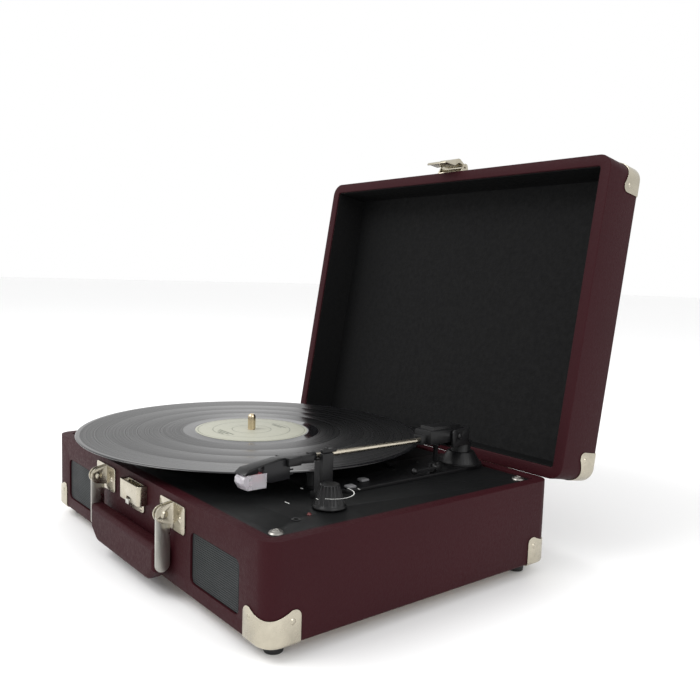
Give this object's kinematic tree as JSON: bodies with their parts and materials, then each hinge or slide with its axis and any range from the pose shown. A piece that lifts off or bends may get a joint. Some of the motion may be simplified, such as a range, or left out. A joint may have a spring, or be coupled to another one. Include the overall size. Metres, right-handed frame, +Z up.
{
  "type": "turntable record player",
  "caption": "Suitcase record player with hinged lid, belt-driven platter carrying a record, pivoted tonearm, volume knob, front speakers and carrying handle.",
  "frame": {"origin": "middle of the whole opened object's outline, on the floor", "axes": "+X to the right seen from the handle side, +Y to the back, +Z up along the spindle"},
  "size_m": [0.3707, 0.3943, 0.3482],
  "materials": {
    "leatherette": "fine grain, satin, maroon",
    "board": "raw fibreboard",
    "softwood": "sawn",
    "liner": "black embossed lining",
    "deck": "black, fine texture",
    "grille": "dark grey, ribbed",
    "nickel": "pale nickel plate",
    "steel": "drawn steel strip",
    "brass": "satin",
    "rubber": "black",
    "basket": "black steel and ferrite",
    "cone": "black pressed paper",
    "circuit": "green circuit board with its parts",
    "potentiometer": "zinc case",
    "jack": "black moulding",
    "led": "clear red",
    "arm_plastic": "black moulding",
    "arm_metal": "champagne tube",
    "cartridge": "black moulding with gilt pins",
    "stylus": "red moulding",
    "guard": "milky clear",
    "knob": "black, ribbed",
    "switch": "grey",
    "platter": "black moulding",
    "vinyl": "grooved record surface",
    "label": "printed paper, pale",
    "chrome": "polished"
  },
  "bodies": {
    "case": {"case_core": "board", "case_covering": "leatherette", "bottom_panel": "board", "rubber_feet": "rubber", "base_guards": "nickel", "case_nails": "nickel", "deck_panel": "deck", "deck_cleats": "softwood", "deck_screws": "brass", "speaker_grille_left": "grille", "speaker_grille_right": "grille", "speaker_baskets": "basket", "speaker_cones": "cone", "amplifier_board": "circuit", "volume_potentiometer": "potentiometer", "headphone_jack": "jack", "power_led": "led", "rear_jack_plate": "jack", "rear_sockets": "brass", "mechanism_plate": "arm_plastic", "tonearm_base": "arm_plastic", "arm_rest": "arm_plastic", "motor_can": "steel", "spindle": "chrome", "drive_belt": "rubber", "handle_brackets": "nickel", "handle_pins": "nickel", "latch_keeper": "nickel", "hinge_case_leaves": "nickel", "hinge_pins": "steel"},
    "lid": {"lid_core": "board", "lid_covering": "leatherette", "lid_liner": "liner", "lid_guards": "nickel", "lid_nails": "nickel", "hinge_lid_leaves": "nickel", "latch_leaf": "nickel"},
    "hasp": {"latch_hasp": "nickel"},
    "latch_button": {"latch_slider": "steel"},
    "handle": {"handle_grip": "leatherette", "handle_arms": "steel"},
    "platter_body": {"platter": "platter", "platter_mat": "rubber", "platter_bush": "brass"},
    "record": {"record_disc": "vinyl", "record_label": "label"},
    "motor_rotor": {"motor_pulley": "brass"},
    "speed_switch": {"speed_slider": "switch"},
    "stop_switch": {"auto_stop_slider": "switch"},
    "knob": {"volume_knob": "knob"},
    "yoke": {"arm_yoke": "arm_plastic"},
    "tonearm": {"arm_carrier": "arm_plastic", "arm_tube": "arm_metal", "headshell": "arm_plastic", "cartridge": "cartridge", "stylus": "stylus"},
    "guard": {"stylus_guard": "guard"},
    "cue_lift_bar": {"cue_bar": "arm_plastic"},
    "cue_handle": {"cue_lever": "arm_plastic"},
    "clip": {"arm_clip": "arm_plastic"}
  },
  "joints": [
    {"name": "lid_hinge", "type": "hinge", "parent": "case", "child": "lid", "pos_m": [0.00365, 0.09981, 0.0685], "axis": [-1, 0, 0], "range_deg": [-43, 0]},
    {"name": "platter_spin", "type": "hinge", "parent": "case", "child": "platter_body", "pos_m": [-0.03455, -0.04709, 0.088], "axis": [0, 0, 1], "continuous": true},
    {"name": "motor_spin", "type": "hinge", "parent": "case", "child": "motor_rotor", "pos_m": [-0.11076, -0.09109, 0.08], "axis": [0, 0, 1], "continuous": true},
    {"name": "record_lift", "type": "slide", "parent": "platter_body", "child": "record", "axis": [0, 0, 1], "range_m": [0, 0.03]},
    {"name": "tonearm_swing", "type": "hinge", "parent": "case", "child": "yoke", "pos_m": [0.10965, 0.07091, 0.09], "axis": [0, 0, 1], "range_deg": [-42, 0]},
    {"name": "tonearm_lift", "type": "hinge", "parent": "yoke", "child": "tonearm", "pos_m": [0.11104, 0.05402, 0.10299], "axis": [-0.9966, -0.0819, 0], "range_deg": [0, 14]},
    {"name": "guard_pull", "type": "slide", "parent": "tonearm", "child": "guard", "axis": [0.0819, -0.9962, 0.029], "range_m": [0, 0.025]},
    {"name": "cue_lever_turn", "type": "hinge", "parent": "case", "child": "cue_handle", "pos_m": [0.12115, 0.02841, 0.0805], "axis": [-1, 0, 0], "range_deg": [0, 50]},
    {"name": "cue_bar_rise", "type": "slide", "parent": "case", "child": "cue_lift_bar", "axis": [0, 0, 1], "range_m": [0, 0.00152]},
    {"name": "arm_clip_turn", "type": "hinge", "parent": "case", "child": "clip", "pos_m": [0.12745, -0.08766, 0.109], "axis": [0, 0, 1], "range_deg": [0, 90]},
    {"name": "volume_turn", "type": "hinge", "parent": "case", "child": "knob", "pos_m": [0.14285, -0.09619, 0.08], "axis": [0, 0, -1], "range_deg": [0, 280]},
    {"name": "speed_select", "type": "slide", "parent": "case", "child": "speed_switch", "axis": [0, 1, 0], "range_m": [-0.003, 0.003]},
    {"name": "auto_stop_select", "type": "slide", "parent": "case", "child": "stop_switch", "axis": [0, 1, 0], "range_m": [0, 0.003]},
    {"name": "handle_swing", "type": "hinge", "parent": "case", "child": "handle", "pos_m": [0.00365, -0.18059, 0.063], "axis": [-1, 0, 0], "range_deg": [0, 95]},
    {"name": "hasp_swing", "type": "hinge", "parent": "lid", "child": "hasp", "pos_m": [0.00365, 0.15932, 0.34043], "axis": [-1, 0, 0], "range_deg": [0, 30]},
    {"name": "latch_release", "type": "slide", "parent": "case", "child": "latch_button", "axis": [0, 0, -1], "range_m": [0, 0.003], "stiffness_N_per_m": 200, "springref_m": -0.002}
  ],
  "couplings": [
    {"joint": "motor_spin", "follows": "platter_spin", "ratio": 11.562},
    {"joint": "cue_bar_rise", "follows": "cue_lever_turn", "m_per_rad": 0.0017189}
  ]
}
